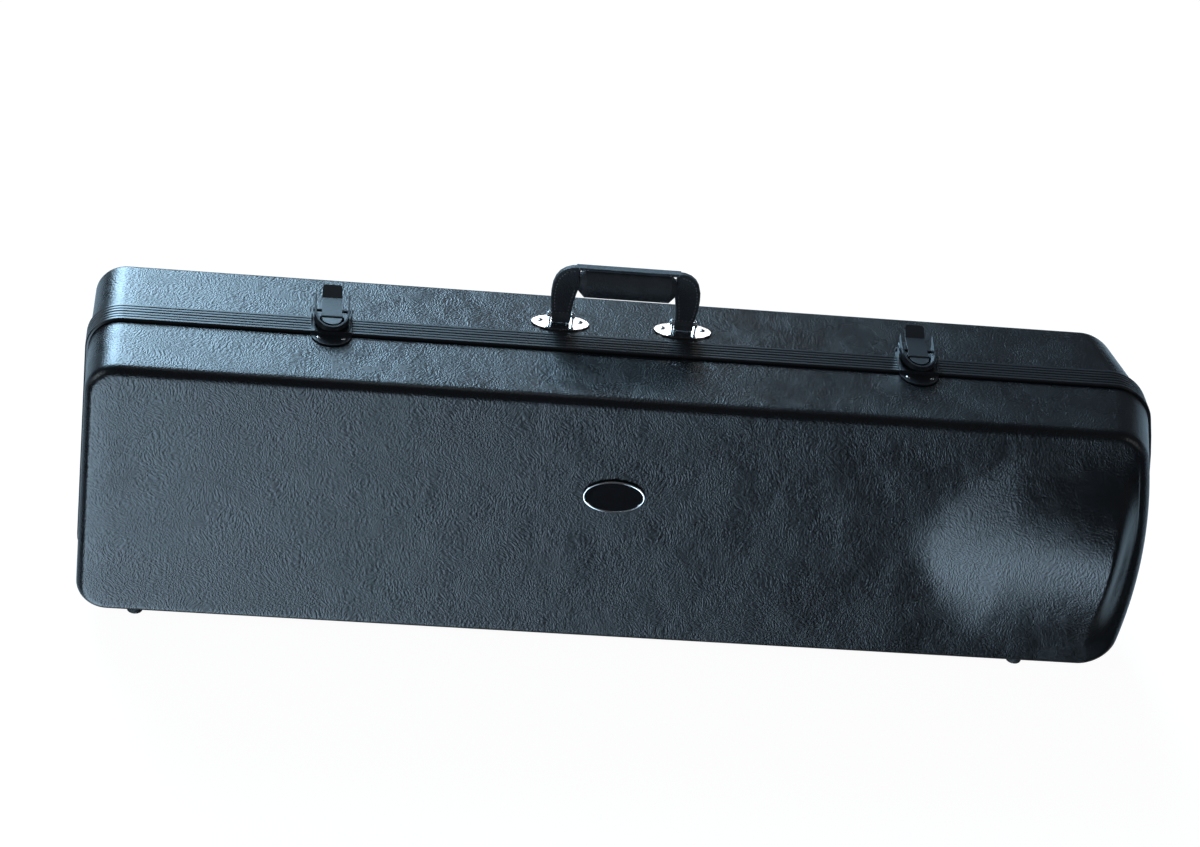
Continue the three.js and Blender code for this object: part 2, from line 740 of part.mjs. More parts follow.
function handleStrap() {
  const right = solidOf(strapLeg());
  const legs = [right, right.mirror([1, 0, 0])].map(geometryOf);
  const loops = [-1, 1].map((s) => {
    const middle = s * handleSpread;
    return rodAlongX(strapLoopRadius, middle - strapEndWidth / 2, middle + strapEndWidth / 2, 0, 0, 16);
  });
  const inside = gripLength / 2 + seatGap + strapBevel + cutOverrun;
  const half = strapThickness / 2;
  const core = block(-inside, inside, -half, half, gripMiddle - gripCoreHalf, gripMiddle + gripCoreHalf);
  const band = block(-inside, inside, -half, half, archRise - gripBelowTop + seatGap, archRise);
  const reach = handleSpread + strapEndWidth / 2 + cutOverrun;
  return cut(join(...legs, ...loops, core, band), rodAlongX(handlePinRadius + seatGap, -reach, reach, 0, 0));
}

function handleGrip() {
  const half = gripLength / 2;
  const profile = [[0, -half], [gripRadius - 2 * gripEndRadius, -half]];
  profile.push([gripRadius - gripEndRadius, gripEndRadius - half]);
  profile.push([gripRadius, 2 * gripEndRadius - half], [gripRadius, half - 2 * gripEndRadius]);
  profile.push([gripRadius - gripEndRadius, half - gripEndRadius]);
  profile.push([gripRadius - 2 * gripEndRadius, half], [0, half]);
  const body = new THREE.LatheGeometry(profile.map(([r, x]) => new THREE.Vector2(r, x)), 24);
  const core = block(
    -half - cutOverrun, half + cutOverrun,
    -strapThickness / 2 - seatGap, strapThickness / 2 + seatGap,
    gripMiddle - gripCoreHalf - seatGap, gripMiddle + gripCoreHalf + seatGap,
  );
  return cut(body.rotateZ(-Math.PI / 2).translate(0, 0, gripMiddle), core);
}

function handle() {
  const slope = Math.atan(wallDraft / (shellDepth - railWidth - seatGap));
  const pinReach = lugInside + lugThickness + seatGap;
  const plateY = handleFromSeam + seatGap * Math.sin(slope);
  const plateZ = topZ - wallDraft * drawnShare(handleFromSeam) + seatGap * Math.cos(slope);
  for (const [name, s] of [["left", -1], ["right", 1]]) {
    const frame = new THREE.Group();
    frame.position.set(handleX + s * handleSpread, plateY, plateZ);
    frame.rotation.x = -slope;
    part.add(frame);
    addPiece(`${name}_handle_plate`, handlePlate(), "chrome", frame);
    const pin = headedPin(handlePinRadius, pinReach, handlePinHeadRadius, handlePinHead, 12);
    addPiece(`${name}_handle_pin`, pin.translate(0, 0, handlePivotHeight), "chrome", frame);
  }
  const swing = new THREE.Group();
  const pivotY = plateY + handlePivotHeight * Math.sin(slope);
  swing.position.set(handleX, pivotY, plateZ + handlePivotHeight * Math.cos(slope));
  part.add(swing);
  addPiece("handle_strap", handleStrap(), "leather", swing);
  addPiece("handle_grip", handleGrip(), "leather", swing);
}

// The oval badge on the front face: a raised rim round a bare recessed field
function badge() {
  const plate = throughY(ellipse(badgeHalfLength, badgeHalfHeight), -badgeThickness, 0, 12);
  const field = ellipse(badgeHalfLength - badgeRim, badgeHalfHeight - badgeRim);
  const recess = throughY(field, -badgeThickness - cutOverrun, badgeRecess - badgeThickness, 12);
  const piece = addPiece("badge_plate", cut(plate, recess), "badge");
  piece.position.set(badgeX, -shellDepth - seatGap, middleZ + badgeAboveMiddle);
}

// Hinge pieces, in a frame on the hinge axis. sign is -1 for the front leaf and 1 for the back leaf.
function hingeLeaf(sign, knuckles) {
  const half = hingeWidth / 2;
  const leafTop = hingeBarrelRadius;
  const near = Math.sqrt(hingeBarrelRadius ** 2 - (hingeBarrelRadius - hingeLeafThickness) ** 2) + runningGap;
  const span = (x0, x1, y0, y1) => {
    const [low, high] = sign > 0 ? [y0, y1] : [-y1, -y0];
    return block(x0, x1, low, high, leafTop - hingeLeafThickness, leafTop);
  };
  const plate = span(-half, half, near + runningGap, hingeLeafReach);
  const pieces = knuckles.flatMap(([x0, x1]) => [
    rodAlongX(hingeBarrelRadius, x0, x1, 0, 0),
    span(x0, x1, 0, hingeLeafReach / 2),
  ]);
  const bore = rodAlongX(hingePinRadius + seatGap, -half - cutOverrun, half + cutOverrun, 0, 0);
  return cut(join(plate, ...pieces), bore);
}

function hinge(index, x) {
  const half = hingeWidth / 2;
  const middle = hingeMiddleKnuckle / 2;
  const outer = [[-half, -middle - runningGap], [middle + runningGap, half]];
  const frame = new THREE.Group();
  frame.position.set(x, 0, hingeZ);
  part.add(frame);
  addPiece(`hinge_${index}_back_leaf`, hingeLeaf(1, outer), "blackMetal", frame);
  addPiece(`hinge_${index}_front_leaf`, hingeLeaf(-1, [[-middle, middle]]), "blackMetal", frame);
  addPiece(`hinge_${index}_pin`, rodAlongX(hingePinRadius, -half, half, 0, 0), "blackMetal", frame);
}

// The whole case
addPiece("back_shell", moulding(false), "shell");
addPiece("front_shell", moulding(true), "shell");
addPiece("back_rail", closingRail(false), "rail");
addPiece("front_rail", closingRail(true), "rail");
addPiece("back_lining", lining(false), "lining");
addPiece("front_lining", lining(true), "lining");
const footY = shellDepth - footFromFace;
for (const [side_, y] of [["front", -footY], ["back", footY]]) {
  foot(`${side_}_foot_left`, plainEndX + footFromPlainEnd, y);
  foot(`${side_}_foot_right`, bellEndX - footFromBellEnd, y);
}
latch("left", fittingsX - latchSpread);
latch("right", fittingsX + latchSpread);
handle();
badge();
hingePlaces.forEach((x, index) => hinge(index + 1, x));

export default part;
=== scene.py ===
import math

import bmesh
import bpy
from mathutils import Matrix, Vector


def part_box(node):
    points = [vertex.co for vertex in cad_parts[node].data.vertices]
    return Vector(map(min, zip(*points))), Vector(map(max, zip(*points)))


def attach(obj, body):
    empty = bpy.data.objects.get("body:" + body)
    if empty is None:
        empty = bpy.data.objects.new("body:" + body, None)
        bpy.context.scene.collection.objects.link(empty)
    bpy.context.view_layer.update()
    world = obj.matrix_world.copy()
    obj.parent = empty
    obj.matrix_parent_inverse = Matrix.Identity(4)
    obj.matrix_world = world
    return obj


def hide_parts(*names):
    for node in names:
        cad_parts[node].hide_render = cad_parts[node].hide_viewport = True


bl_info = {
    "name": "Trombone Case",
    "version": (1, 0, 0),
    "blender": (4, 5, 0),
    "location": "3D View > Sidebar > Trombone Case",
    "description": "Dresses the packed trombone case in moulded plastic, metal and leather",
    "category": "Object",
}

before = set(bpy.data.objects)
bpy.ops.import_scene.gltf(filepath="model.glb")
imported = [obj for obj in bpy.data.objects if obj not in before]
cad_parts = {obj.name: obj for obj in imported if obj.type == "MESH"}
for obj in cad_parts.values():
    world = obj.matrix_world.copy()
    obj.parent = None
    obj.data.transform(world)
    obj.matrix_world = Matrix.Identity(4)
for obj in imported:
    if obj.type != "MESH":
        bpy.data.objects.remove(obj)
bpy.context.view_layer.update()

MM = 0.001
SHELL_LOW, SHELL_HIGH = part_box("back_shell")
MIDDLE_Z = (SHELL_LOW.z + SHELL_HIGH.z) / 2
HALF_HEIGHT = (SHELL_HIGH.z - SHELL_LOW.z) / 2
FACE_DEPTH = -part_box("badge_plate")[1].y

# Each half: its name, the body it rides on and the way its face looks along Y
HALVES = (("front", "lid", -1), ("back", "case_back", 1))
SIDES = ("left", "right")

# Vertices this near to each other are one, on a new piece and on a copy of a CAD node
SAME_SPOT = 0.0005 * MM
SAME_CAD_SPOT = 0.01 * MM

# Points on a round corner of the case, ribs on a rail
CORNER_STEPS = 12
RIBS = 3

# Rivets of a latch: their places on its base, and half lengths of their rims and cores
RIVET_SPREAD, RIVET_Y, RIVET_RISE = 10.5 * MM, -19.6 * MM, 1.3 * MM
RIVET_RIM = (2.2 * MM, 2.2 * MM, 0.8 * MM)
RIVET_CORE = (1.2 * MM, 1.2 * MM, 0.5 * MM)
CORE_RISE = 0.5 * MM

# Screws of a handle plate: their places on it, half lengths of a head and lengths of a slot. A slot
# is a black bar, painted shade for the recess cut in the head
SCREW_SPREAD, SCREW_SHIFT, SCREW_RISE = 17.6 * MM, 2 * MM, 1.4 * MM
SCREW_HEAD = (2.6 * MM, 2.6 * MM, 1.0 * MM)
SCREW_SLOT = (3.0 * MM, 0.7 * MM, 0.6 * MM)
SLOT_RISE, SLOT_TURN = 0.75 * MM, 0.5

# The camera, fitted to the photograph by the case's corners
CAMERA_PLACE = (-0.3751, -2.4198, 1.7085)
CAMERA_TURN, CAMERA_TILT, CAMERA_ROLL = 0.1433, math.radians(32.0), 0.1411
FOCAL_PIXELS, PHOTO_WIDTH = 3283.6, 1200

WHITE = (1.0, 1.0, 1.0)
DAYLIGHT = (0.9, 0.95, 1.0)
DIM_DAYLIGHT = (0.85, 0.92, 1.0)


class Value:
    """A node socket that adds Math nodes when it is used in an expression."""

    def __init__(self, finish, socket):
        self.finish = finish
        self.socket = socket

    def maths(self, operation, *values):
        return self.finish.node("ShaderNodeMath", {"operation": operation}, dict(enumerate(values)))

    def __add__(self, other):
        return self.maths("ADD", self, other)

    def __radd__(self, other):
        return self.maths("ADD", other, self)

    def __sub__(self, other):
        return self.maths("SUBTRACT", self, other)

    def __rsub__(self, other):
        return self.maths("SUBTRACT", other, self)

    def __mul__(self, other):
        return self.maths("MULTIPLY", self, other)

    def __rmul__(self, other):
        return self.maths("MULTIPLY", other, self)

    def __pow__(self, other):
        return self.maths("POWER", self, other)

    def clamped(self):
        return self.maths("MINIMUM", self.maths("MAXIMUM", self, 0.0), 1.0)

    def between(self, low, high):
        """0 at low, 1 at high, held outside."""
        return ((self - low) * (1.0 / (high - low))).clamped()


class Finish:
    """A node tree of a material or of the world, with one method that adds any node."""

    def __init__(self, name, tree=None):
        self.material = None
        if tree is None:
            self.material = bpy.data.materials.new(name)
            self.material.use_nodes = True
            tree = self.material.node_tree
        self.tree = tree
        self.shader = tree.nodes.get("Principled BSDF")

    def feed(self, socket, value):
        """Links a value to a socket, or sets the socket to a number or a colour."""
        if isinstance(value, Value):
            self.tree.links.new(value.socket, socket)
        else:
            socket.default_value = value

    def node(self, kind, settings=None, sockets=None, output=0):
        """Adds a node, sets its settings and then its sockets, and returns one of its outputs."""
        made = self.tree.nodes.new(kind)
        for key, value in (settings or {}).items():
            setattr(made, key, value)
        for key, value in (sockets or {}).items():
            self.feed(made.inputs[key], value)
        return Value(self, made.outputs[output])

    def parts(self, vector):
        """A vector's X, Y and Z."""
        split = self.node("ShaderNodeSeparateXYZ", sockets={0: vector}).socket.node
        return [Value(self, socket) for socket in split.outputs]

    def mapped(self, vector, scale=(1, 1, 1), turn=(0, 0, 0)):
        """The vector, stretched by scale and turned."""
        sockets = {"Vector": vector, "Scale": scale, "Rotation": turn}
        return self.node("ShaderNodeMapping", sockets=sockets)

    def place(self, scale=(1, 1, 1)):
        """Object coordinates in metres, stretched by scale."""
        return self.mapped(self.node("ShaderNodeTexCoord", output="Object"), scale)

    def noise(self, vector, scale, detail=2.0, roughness=0.5, distortion=0.0, output=0):
        sockets = {"Vector": vector, "Scale": scale, "Detail": detail, "Roughness": roughness}
        sockets["Distortion"] = distortion
        return self.node("ShaderNodeTexNoise", sockets=sockets, output=output)

    def vector_maths(self, operation, sockets):
        return self.node("ShaderNodeVectorMath", {"operation": operation}, sockets)

    def warped(self, vector, scale, amount):
        """The vector, pushed about by noise of that scale."""
        push = self.noise(vector, scale, output="Color")
        centred = self.vector_maths("SUBTRACT", {0: push, 1: (0.5, 0.5, 0.5)})
        pushed = self.vector_maths("SCALE", {0: centred, "Scale": amount})
        return self.vector_maths("ADD", {0: vector, 1: pushed})

    def cells(self, vector, scale, feature="F1"):
        sockets = {"Vector": vector, "Scale": scale}
        return self.node("ShaderNodeTexVoronoi", {"feature": feature}, sockets)

    def mixed(self, factor, first, second):
        """A colour between two colours: sockets 6 and 7 of a Mix node are its colours."""
        sockets = {0: factor, 6: first, 7: second}
        return self.node("ShaderNodeMix", {"data_type": "RGBA"}, sockets, output=2)

    def blended(self, factor, first, second):
        """A shader between two shaders."""
        return self.node("ShaderNodeMixShader", sockets={0: factor, 1: first, 2: second})

    def glowing(self, kind, tint, strength):
        """A shader that gives off light."""
        return self.node(kind, sockets={"Color": rgba(tint), "Strength": strength})

    def bump(self, height, distance):
        self.set(Normal=self.node("ShaderNodeBump", sockets={"Height": height, "Distance": distance}))

    def set(self, **sockets):
        for key, value in sockets.items():
            self.feed(self.shader.inputs[key.replace("_", " ")], value)


def rgba(tint):
    return (*tint, 1.0)


# Finishes


def moulded_plastic(case):
    """Black moulded plastic with the creased grain of leather."""
    finish = Finish("moulded_plastic")
    here = finish.place()
    flow = finish.warped(here, scale=26.0, amount=30 * MM)
    along = finish.mapped(flow, turn=(0.9, 0.35, 0.3))
    drawn = finish.mapped(along, scale=(1.0, 0.4, 1.0))
    drawn = finish.warped(drawn, scale=420.0, amount=1.2 * MM)
    creases = finish.cells(drawn, case.grain_density, "SMOOTH_F1").between(0.1, 0.7)
    fine_density = case.grain_density * 1.5
    fine = finish.noise(drawn, fine_density, detail=3.0, roughness=0.6, distortion=1.0)
    finish.bump(creases * 0.8 + fine * 0.5, case.grain_depth)
    clouds = finish.noise(here, scale=13.0, detail=3.0, roughness=0.55).between(0.42, 0.72)
    shade = finish.mixed(clouds, rgba(case.shell_colour), rgba(case.shell_cloud_colour))
    finish.set(Base_Color=shade, Roughness=0.25 + clouds * 0.08)
    return finish.material


def rail_plastic(case):
    """Smooth black plastic, finely speckled."""
    finish = Finish("rail_plastic")
    specks = finish.noise(finish.place(), scale=900.0)
    finish.bump(specks, 0.02 * MM)
    finish.set(Base_Color=rgba(case.rail_colour), Roughness=0.26 + specks * 0.1)
    return finish.material


def black_lacquer(case):
    """Sheet steel under black lacquer, a little thin and worn in places."""
    finish = Finish("black_lacquer")
    orange_peel = finish.noise(finish.place(), scale=420.0)
    patches = finish.noise(finish.place(), scale=160.0, detail=4.0, roughness=0.65)
    wear = patches.between(0.66, 0.76)
    worn_colour = (0.06, 0.06, 0.065)
    shade = finish.mixed(wear * 0.5, rgba(case.lacquer_colour), rgba(worn_colour))
    finish.bump(orange_peel, 0.08 * MM)
    roughness = 0.3 + wear * 0.15 + orange_peel * 0.06
    finish.set(Base_Color=shade, Metallic=wear * 0.35, Roughness=roughness, Specular_IOR_Level=0.6)
    return finish.material


def bright_chrome(case):
    """Polished plating with faint handling marks."""
    finish = Finish("bright_chrome")
    marks = finish.noise(finish.place(scale=(1.0, 3.0, 1.0)), scale=380.0, detail=3.0)
    finish.set(Base_Color=rgba(case.chrome_colour), Metallic=1.0, Roughness=0.05 + marks * 0.06)
    return finish.material


def grained_leather(case):
    """Black handle covering with a pebbled grain."""
    finish = Finish("grained_leather")
    flow = finish.warped(finish.place(), scale=500.0, amount=0.6 * MM)
    pebbles = finish.cells(flow, scale=850.0)
    creases = finish.noise(flow, scale=260.0, detail=4.0, roughness=0.6, distortion=0.8)
    finish.bump(pebbles * -0.6 + creases * 0.7, 0.6 * MM)
    worn = finish.noise(finish.place(), scale=70.0, detail=3.0).between(0.5, 0.75)
    worn_colour = (0.05, 0.055, 0.062)
    shade = finish.mixed(worn, rgba(case.leather_colour), rgba(worn_colour))
    finish.set(Base_Color=shade, Roughness=0.4 + pebbles * 0.25)
    return finish.material


def waxed_thread(case):
    """Dark sewing thread, twisted."""
    finish = Finish("waxed_thread")
    twist = finish.noise(finish.place(), scale=2600.0)
    finish.bump(twist, 0.1 * MM)
    finish.set(Base_Color=rgba(case.thread_colour), Roughness=0.5 + twist * 0.2)
    return finish.material


def plush(case):
    """Short-pile lining cloth."""
    finish = Finish("plush")
    here = finish.place()
    pile = finish.noise(here, scale=1500.0, detail=3.0, roughness=0.7)
    nap = finish.noise(here, scale=38.0, detail=3.0, roughness=0.55, distortion=0.8)
    lying = nap.between(0.35, 0.68)
    shade = finish.mixed(lying, rgba(case.lining_colour), rgba(case.lining_nap_colour))
    finish.bump(pile + nap * 2.0, 0.6 * MM)
    finish.set(Base_Color=shade, Roughness=0.92 - pile * 0.1)
    finish.set(Sheen_Weight=0.5, Sheen_Roughness=0.4)
    return finish.material


def foot_rubber(case):
    """Hard black rubber with a dusty surface."""
    finish = Finish("foot_rubber")
    dust = finish.noise(finish.place(), scale=700.0, detail=3.0)
    finish.bump(dust, 0.1 * MM)
    clean_colour, dusty_colour = (0.012, 0.012, 0.013), (0.04, 0.039, 0.038)
    shade = finish.mixed(dust.between(0.55, 0.8), rgba(clean_colour), rgba(dusty_colour))
    finish.set(Base_Color=shade, Roughness=0.6 + dust * 0.2)
    return finish.material


def badge_enamel(case):
    """The badge's black field."""
    finish = Finish("badge_enamel")
    ripple = finish.noise(finish.place(), scale=260.0)
    finish.bump(ripple, 0.03 * MM)
    finish.set(Base_Color=rgba((0.012, 0.013, 0.016)), Roughness=0.06 + ripple * 0.04)
    return finish.material


def shared(finish, case):
    """A finish that several steps use: its material is made once."""
    return bpy.data.materials.get(finish.__name__) or finish(case)


# Meshes


def around(ring):
    """Each point of a closed ring with the one after it."""
    return zip(ring, ring[1:] + ring[:1])


def start_ring(bm, points):
    ring = [bm.verts.new(point) for point in points]
    for pair in around(ring):
        bm.edges.new(pair)
    return ring


def pull_ring(bm, ring, points):
    """Extrudes a closed ring and puts the new one on the points."""
    edges = [bm.edges.get(pair) for pair in around(ring)]
    made = bmesh.ops.extrude_edge_only(bm, edges=edges)["geom"]
    fresh = {item for item in made if isinstance(item, bmesh.types.BMVert)}
    pulled = []
    for vert, point in zip(ring, points):
        neighbours = (edge.other_vert(vert) for edge in vert.link_edges)
        twin = next(neighbour for neighbour in neighbours if neighbour in fresh)
        twin.co = point
        pulled.append(twin)
    return pulled


def skin(rings, closed=False):
    """A surface through rings of points. Its ends are capped, or joined where it is closed."""
    bm = bmesh.new()
    first = last = start_ring(bm, rings[0])
    for points in rings[1:]:
        last = pull_ring(bm, last, points)
    if closed:
        edges = [bm.edges.get(pair) for ring in (first, last) for pair in around(ring)]
        bmesh.ops.bridge_loops(bm, edges=edges)
        return bm
    for ring in (first, last):
        cap = bmesh.ops.contextual_create(bm, geom=ring)["faces"]
        bmesh.ops.poke(bm, faces=cap)
    return bm


def settle(made):
    """Applies an object's modifiers."""
    evaluated = made.evaluated_get(bpy.context.evaluated_depsgraph_get())
    mesh = bpy.data.meshes.new_from_object(evaluated)
    made.modifiers.clear()
    made.data = mesh


def piece(name, bm, body, finish, replaces=(), angle=40, even=False):
    """Makes a mesh a finished piece that rides on a body.

    Edges sharper than the angle stay sharp. even keeps flat faces flat beside eased edges.
    """
    bmesh.ops.remove_doubles(bm, verts=bm.verts, dist=SAME_SPOT)
    bmesh.ops.recalc_face_normals(bm, faces=bm.faces)
    mesh = bpy.data.meshes.new(name)
    bm.to_mesh(mesh)
    bm.free()
    mesh.shade_smooth()
    mesh.set_sharp_from_angle(angle=math.radians(angle))
    mesh.materials.append(finish)
    made = bpy.data.objects.new(name, mesh)
    bpy.context.scene.collection.objects.link(made)
    if even:
        made.modifiers.new("Even", "WEIGHTED_NORMAL").keep_sharp = True
        settle(made)
    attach(made, body)
    if replaces:
        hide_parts(*replaces)
    return made


def merged_copy(node):
    """A CAD node's mesh with its loose triangles merged."""
    bm = bmesh.new()
    bm.from_mesh(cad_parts[node].data)
    bmesh.ops.remove_doubles(bm, verts=bm.verts, dist=SAME_CAD_SPOT)
    return bm


def eased_copy(node, width, segments=2, angle=32):
    """A copy of a CAD node, its flats made whole and its edges sharper than the angle eased."""
    bm = merged_copy(node)
    flat = math.radians(1.5)
    bmesh.ops.dissolve_limit(bm, angle_limit=flat, verts=bm.verts, edges=bm.edges)
    limit = math.radians(angle)
    sharp = [edge for edge in bm.edges if edge.is_manifold and edge.calc_face_angle(0) > limit]
    bmesh.ops.bevel(
        bm, geom=sharp, affect="EDGES", offset=width, offset_type="OFFSET", segments=segments,
        profile=0.5, material=-1, clamp_overlap=True,
    )
    return bm


def put(centre, size, turn=None):
    """The matrix that stretches a unit shape, turns it and puts it at its centre."""
    turn = turn or Matrix.Identity(4)
    return Matrix.Translation(centre) @ turn @ Matrix.Diagonal((*size, 1.0))


def bead(bm, centre, half_size, turn=None):
    """Adds a flattened ball."""
    place = put(centre, half_size, turn)
    bmesh.ops.create_uvsphere(bm, u_segments=16, v_segments=8, radius=1.0, matrix=place)


def bar(bm, centre, size, turn=None):
    """Adds a block."""
    bmesh.ops.create_cube(bm, size=1.0, matrix=put(centre, size, turn))


def oval(middle, half_x, half_z, y, steps=96):
    """Points round an upright oval that looks along Y."""
    turns = [step / steps * 2 * math.pi for step in range(steps)]
    return [
        Vector((middle.x + half_x * math.cos(turn), y, middle.z + half_z * math.sin(turn)))
        for turn in turns
    ]


def strap_outlines(node):
    """The closed outlines of a strap's largest front face, each as points in order."""
    bm = merged_copy(node)
    facing = [face for face in bm.faces if face.normal.y < -0.99]
    level = max(facing, key=lambda face: face.calc_area()).calc_center_median().y
    faces = {face for face in facing if abs(face.calc_center_median().y - level) < 0.1 * MM}
    edges = [edge for edge in bm.edges if sum(face in faces for face in edge.link_faces) == 1]
    outlines = []
    while edges:
        start, here = edges.pop().verts
        outline = [start.co.copy(), here.co.copy()]
        while here != start:
            following = next((edge for edge in edges if here in edge.verts), None)
            if following is None:
                break
            edges.remove(following)
            here = following.other_vert(here)
            outline.append(here.co.copy())
        outlines.append(outline)
    bm.free()
    return outlines


def stitches(case, node):
    """Sewn stitches inside the edges of a strap's legs."""
    low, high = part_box(node)
    middle = (low + high) / 2
    lowest = low.z + case.stitch_inset * 5
    half_stitch = (case.stitch_pitch * 0.3, 0.5 * MM, 0.4 * MM)
    bm = bmesh.new()
    for outline in strap_outlines(node):
        area = sum(a.x * b.z - b.x * a.z for a, b in zip(outline, outline[1:]))
        inside = 1 if area > 0 else -1
        travelled, due = 0.0, case.stitch_pitch
        for start, stop in zip(outline, outline[1:]):
            way = stop - start
            reach = way.length
            way = way / reach
            inward = Vector((-way.z, 0, way.x)) * inside
            turn = way.to_track_quat("X", "Y").to_matrix().to_4x4()
            while travelled + reach >= due:
                spot = start + way * (due - travelled) + inward * case.stitch_inset
                due += case.stitch_pitch
                if abs(spot.x - middle.x) > case.stitch_free and spot.z > lowest:
                    bead(bm, spot, half_stitch, turn)
            travelled += reach
    return bm


# The form of the case


def shares_between(first, last, steps):
    """The places between first and last that cut the way into equal steps."""
    return [first + (last - first) * step / steps for step in range(1, steps)]


def case_outline(case, inset, lean, edge_steps=60):
    """Points in X and Z round the case, drawn in by an inset, with the bell end bowed."""
    radius = case.corner_radius - inset
    reach_x = (SHELL_HIGH.x - SHELL_LOW.x - case.end_bow) / 2 - case.corner_radius
    reach_z = HALF_HEIGHT - case.corner_radius

    def placed(x, z, at_bell_end):
        from_peak = (z + case.end_peak_drop) / HALF_HEIGHT
        bowed = case.end_bow * (1 - from_peak ** 2) - lean if at_bell_end else 0.0
        return x - case.end_bow / 2 + bowed, z + MIDDLE_Z

    def corner(sign_x, sign_z, start):
        points = []
        for step in range(CORNER_STEPS + 1):
            angle = start + step / CORNER_STEPS * math.pi / 2
            x = sign_x * reach_x + radius * math.cos(angle)
            z = sign_z * reach_z + radius * math.sin(angle)
            points.append(placed(x, z, sign_x > 0))
        return points

    lower_bell, upper_bell = corner(1, -1, -math.pi / 2), corner(1, 1, 0)
    corners = [lower_bell, upper_bell, corner(-1, 1, math.pi / 2), corner(-1, -1, math.pi)]
    end_steps = edge_steps // 3
    points = corners[0]
    for share in shares_between(-1, 1, end_steps):
        points.append(placed(reach_x + radius, reach_z * share, True))
    for before, after, steps in ((1, 2, edge_steps), (2, 3, end_steps), (3, 0, edge_steps)):
        points += corners[before]
        first, last = Vector(corners[before][-1]), Vector(corners[after][0])
        points += [tuple(first.lerp(last, share)) for share in shares_between(0, 1, steps)]
    return points


def cone_rise(case, x, z):
    """How far the face stands out over the bell."""
    bell_x = SHELL_HIGH.x - case.rim_setback
    along = (x - bell_x + case.cone_length) / case.cone_length
    if along <= 0:
        return 0.0
    face_half = HALF_HEIGHT - case.wall_draft - case.face_fillet
    half_width = face_half * min(1.0, math.sqrt(along / case.cone_opening))
    across = abs(z - MIDDLE_Z) / half_width
    drop = case.rim_setback - case.end_lean - case.face_fillet - case.wall_draft
    past_rim = max(0.0, x - bell_x) / drop
    if across >= 1 or past_rim >= 1:
        return 0.0
    height = min(1.0, along) * math.cos(past_rim * math.pi / 2) ** 2
    return case.bell_rise * height * math.cos(across * math.pi / 2) ** 2


def tray_rings(case, inset, fillet_steps, face_steps):
    """Rings of one surface of a half, from the middle of the bell cone out to the seam edge."""
    depth = FACE_DEPTH - case.seat_gap - inset
    straight = case.rail_width + case.seat_gap
    fillet = case.face_fillet - inset
    wall = depth - fillet - straight

    def ring(extra, y):
        """The outline at a depth: straight under the rail, then drawn in towards the face."""
        drawn = max(0.0, y - straight) / (depth + inset - straight)
        inwards = inset + extra + case.wall_draft * drawn
        outline = case_outline(case, inwards, case.end_lean * drawn)
        return [Vector((x, y, z)) for x, z in outline]

    rings = [ring(0.0, y) for y in (SHELL_LOW.y, straight * 0.9, straight)]
    rings += [ring(0.0, straight + wall * share) for share in (0.08, 0.3, 0.6, 0.9)]
    for step in range(fillet_steps + 1):
        angle = step / fillet_steps * math.pi / 2
        rings.append(ring(fillet * (1 - math.cos(angle)), depth - fillet * (1 - math.sin(angle))))

    # The face's rings close in on a point of the cone's ridge, and lie denser there
    edge = rings[-1]
    ridge = Vector((SHELL_HIGH.x - case.rim_setback * 1.5, depth, MIDDLE_Z))
    for step in range(1, face_steps):
        share = (1 - step / face_steps) ** 1.5
        points = []
        for point in edge:
            spot = ridge.lerp(point, share)
            spot.y = depth + cone_rise(case, spot.x, spot.z)
            points.append(spot)
        rings.append(points)
    rings.reverse()
    return rings


def flipped(points, sign):
    """The points, on the side of the seam that the sign names."""
    return [Vector((point.x, sign * point.y, point.z)) for point in points]


def shell_mesh(case, sign):
    """One moulded half: outer face, seam edge and inner face."""
    outer = tray_rings(case, inset=0.0, fillet_steps=8, face_steps=64)
    inner = tray_rings(case, inset=case.wall, fillet_steps=5, face_steps=30)
    return skin([flipped(ring, sign) for ring in outer + inner[::-1]])


def rail_mesh(case, sign):
    """A closing rail: rounded ribs outside, a lip inside, a tongue or a groove at the seam."""
    face = case.seam_gap / 2
    proud, width, groove = case.rail_proud, case.rail_width, case.groove_depth
    pitch = (width - face) / RIBS
    ease = pitch * 0.2

    # A rib's flank: how far along the rib each point lies, and its share of the groove's depth
    flank = ((0.1 * MM, 1.0), (ease * 0.4, 0.4), (ease, 0.08))
    profile = []
    for rib in range(RIBS):
        start, stop = face + rib * pitch, face + (rib + 1) * pitch
        profile += [(proud - groove * sunk, start + along) for along, sunk in flank]
        profile.append((proud, (start + stop) / 2))
        profile += [(proud - groove * sunk, stop - along) for along, sunk in reversed(flank)]

    slot_bottom = SHELL_LOW.y - case.seat_gap
    inside = -case.wall - case.seat_gap
    lip, lip_width = inside - 1.5 * MM, width * 0.78
    profile += [(proud - groove * 1.6, width), (case.seat_gap, width), (case.seat_gap, slot_bottom)]
    profile += [(inside, slot_bottom), (inside, lip_width), (lip, lip_width), (lip, face)]

    # The front rail has the tongue, which reaches over the seam into the back rail's groove
    half, level = (0.6 * MM, -1.8 * MM) if sign < 0 else (1.0 * MM, 2.2 * MM)
    middle = -case.wall / 2
    profile += [(middle - half, face), (middle - half, level)]
    profile += [(middle + half, level), (middle + half, face)]
    rings = []
    for out, y in profile:
        outline = case_outline(case, -out, lean=0.0, edge_steps=30)
        rings.append([Vector((x, sign * y, z)) for x, z in outline])
    return skin(rings, closed=True)


def length(name, description, millimetres):
    return bpy.props.FloatProperty(
        name=name, description=description, default=millimetres * MM, unit="LENGTH", precision=4,
    )


def colour(name, description, *value):
    return bpy.props.FloatVectorProperty(
        name=name, description=description, default=value, size=3, subtype="COLOR", min=0, max=1,
    )


